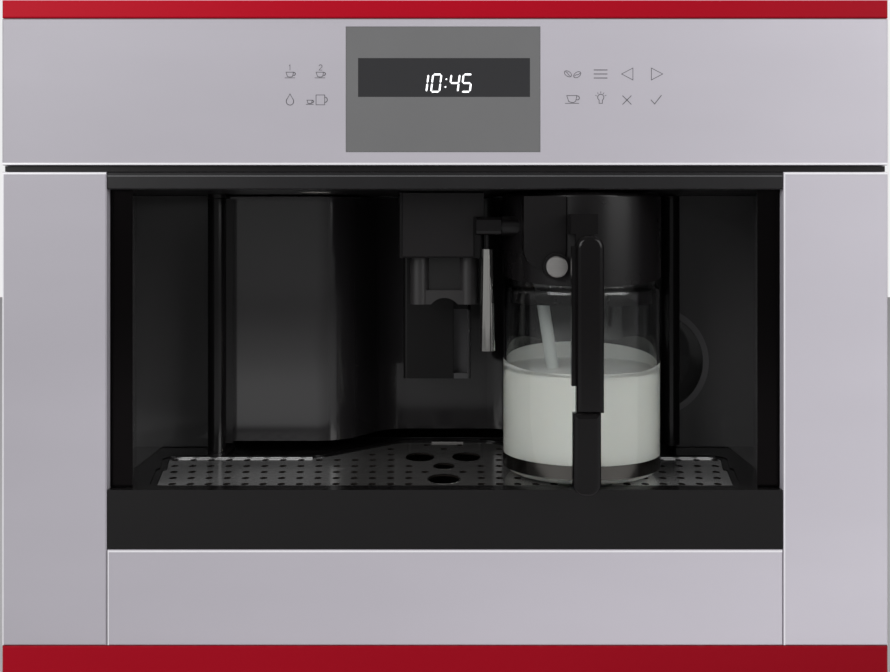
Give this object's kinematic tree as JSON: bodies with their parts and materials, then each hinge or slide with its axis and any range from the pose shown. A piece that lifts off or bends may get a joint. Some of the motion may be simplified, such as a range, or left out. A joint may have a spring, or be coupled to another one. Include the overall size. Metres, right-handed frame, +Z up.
{
  "type": "built in coffee machine",
  "caption": "Built-in bean-to-cup coffee machine on pull-out guides, with a glass milk jug, twin coffee outlet, drip drawer and perforated cup grid in an open niche.",
  "frame": {"origin": "centre of the base of the whole machine's bounding box, on the cabinet floor", "axes": "+X to the right seen from the front, +Y into the cabinet, +Z up"},
  "size_m": [0.595, 0.43, 0.455],
  "materials": {
    "silver_panels": "satin",
    "red_strips": "satin",
    "black_plastic": "satin",
    "gloss_black": "gloss",
    "display_glass": "clear",
    "jug_glass": "clear",
    "clear_plastic": "clear",
    "milk": "matte",
    "brushed_steel": "brushed",
    "dark_steel": "brushed, dark",
    "grid_steel": "satin",
    "polished_steel": "polished",
    "zinc_steel": "zinc plated",
    "black_steel": "satin",
    "burr_steel": "ground",
    "heater_aluminium": "cast",
    "circuit_board": "matte",
    "lamp_plastic": "diffuse",
    "silicone": "matte",
    "grey_plastic": "matte"
  },
  "bodies": {
    "cabinet_guides": {"outer_rails": "zinc_steel"},
    "guide_middle": {"middle_rails": "zinc_steel"},
    "machine": {"inner_rails": "zinc_steel", "side_plates": "zinc_steel", "base_plate": "zinc_steel", "drawer_shelf": "zinc_steel", "inner_shelf": "zinc_steel", "rear_panel": "zinc_steel", "top_cover": "zinc_steel", "panel_screws": "zinc_steel", "front_frame": "black_steel", "control_panel": "silver_panels", "display_glass": "display_glass", "control_board": "circuit_board", "top_strip": "red_strips", "bottom_strip": "red_strips", "left_trim": "silver_panels", "right_trim": "silver_panels", "lower_panel": "silver_panels", "niche_bar": "gloss_black", "left_niche_side": "black_plastic", "right_niche_side": "black_plastic", "niche_ceiling": "black_plastic", "niche_lamps": "lamp_plastic", "hinge_brackets": "black_steel", "brew_frame": "grey_plastic", "grinder": "grey_plastic", "bean_hopper": "clear_plastic", "thermoblock": "heater_aluminium", "water_pump": "grey_plastic", "hoses": "silicone", "power_inlet": "black_plastic"},
    "service_door": {"door_panel": "gloss_black", "door_cover": "black_plastic", "door_bars": "gloss_black", "outlet_column": "gloss_black"},
    "coffee_outlet": {"outlet_housing": "gloss_black", "outlet_plate": "black_steel", "twin_spout": "gloss_black"},
    "jug": {"jug_glass": "jug_glass", "milk": "milk", "jug_band": "dark_steel", "jug_lid": "gloss_black", "jug_handle": "gloss_black", "intake_tube": "polished_steel"},
    "milk_outlet": {"milk_arm": "gloss_black", "milk_tube": "polished_steel"},
    "clean_key": {"clean_button": "brushed_steel"},
    "drawer": {"drawer_shell": "gloss_black", "drip_basin": "black_plastic", "cup_grid": "grid_steel", "grounds_container": "black_plastic"},
    "tank": {"water_tank": "clear_plastic"},
    "tank_cover": {"tank_lid": "black_plastic"},
    "bean_cover": {"bean_lid": "black_plastic"},
    "grind_setting": {"grind_knob": "black_plastic"},
    "burr": {"grinder_burr": "burr_steel"},
    "piston": {"brew_piston": "grey_plastic"},
    "spindle": {"brew_spindle": "polished_steel"},
    "rocker": {"power_switch": "gloss_black"}
  },
  "joints": [
    {"name": "pull_out", "type": "slide", "parent": "cabinet_guides", "child": "machine", "axis": [0, -1, 0], "range_m": [0, 0.3]},
    {"name": "guide_extend", "type": "slide", "parent": "cabinet_guides", "child": "guide_middle", "axis": [0, -1, 0], "range_m": [0, 0.15]},
    {"name": "door_swing", "type": "hinge", "parent": "machine", "child": "service_door", "pos_m": [-0.176, -0.073, 0.23], "axis": [0, 0, -1], "range_deg": [0, 95]},
    {"name": "outlet_height", "type": "slide", "parent": "service_door", "child": "coffee_outlet", "axis": [0, 0, -1], "range_m": [0, 0.055]},
    {"name": "jug_off", "type": "slide", "parent": "service_door", "child": "jug", "axis": [0, -1, 0], "range_m": [0, 0.12]},
    {"name": "milk_outlet_tilt", "type": "hinge", "parent": "jug", "child": "milk_outlet", "pos_m": [0.045, -0.1485, 0.30325], "axis": [-1, 0, 0], "range_deg": [0, 40]},
    {"name": "clean_press", "type": "slide", "parent": "jug", "child": "clean_key", "axis": [0, 1, 0], "range_m": [0, 0.002], "stiffness_N_per_m": 600},
    {"name": "drawer_out", "type": "slide", "parent": "machine", "child": "drawer", "axis": [0, -1, 0], "range_m": [0, 0.2]},
    {"name": "tank_lift", "type": "slide", "parent": "machine", "child": "tank", "axis": [0, 0, 1], "range_m": [0, 0.15]},
    {"name": "tank_cover_hinge", "type": "hinge", "parent": "tank", "child": "tank_cover", "pos_m": [0.203, 0.202, 0.442], "axis": [-1, 0, 0], "range_deg": [0, 100]},
    {"name": "bean_cover_hinge", "type": "hinge", "parent": "machine", "child": "bean_cover", "pos_m": [-0.186, 0.121, 0.4454], "axis": [-1, 0, 0], "range_deg": [0, 100]},
    {"name": "grind_adjust", "type": "hinge", "parent": "machine", "child": "grind_setting", "pos_m": [-0.186, 0.051, 0.416], "axis": [0, 0, 1], "range_deg": [0, 270]},
    {"name": "burr_spin", "type": "hinge", "parent": "machine", "child": "burr", "pos_m": [-0.186, 0.051, 0.28], "axis": [0, 0, 1], "continuous": true},
    {"name": "brew_stroke", "type": "slide", "parent": "machine", "child": "piston", "axis": [0, 0, 1], "range_m": [0, 0.03]},
    {"name": "spindle_turn", "type": "hinge", "parent": "machine", "child": "spindle", "pos_m": [0, 0.099, 0.23], "axis": [0, 0, 1], "range_deg": [0, 540]},
    {"name": "switch_rock", "type": "hinge", "parent": "machine", "child": "rocker", "pos_m": [-0.145, 0.204, 0.06], "axis": [-1, 0, 0], "range_deg": [0, 14]}
  ],
  "couplings": [
    {"joint": "guide_extend", "follows": "pull_out", "ratio": 0.5},
    {"joint": "spindle_turn", "follows": "brew_stroke", "rad_per_m": 314.16}
  ]
}
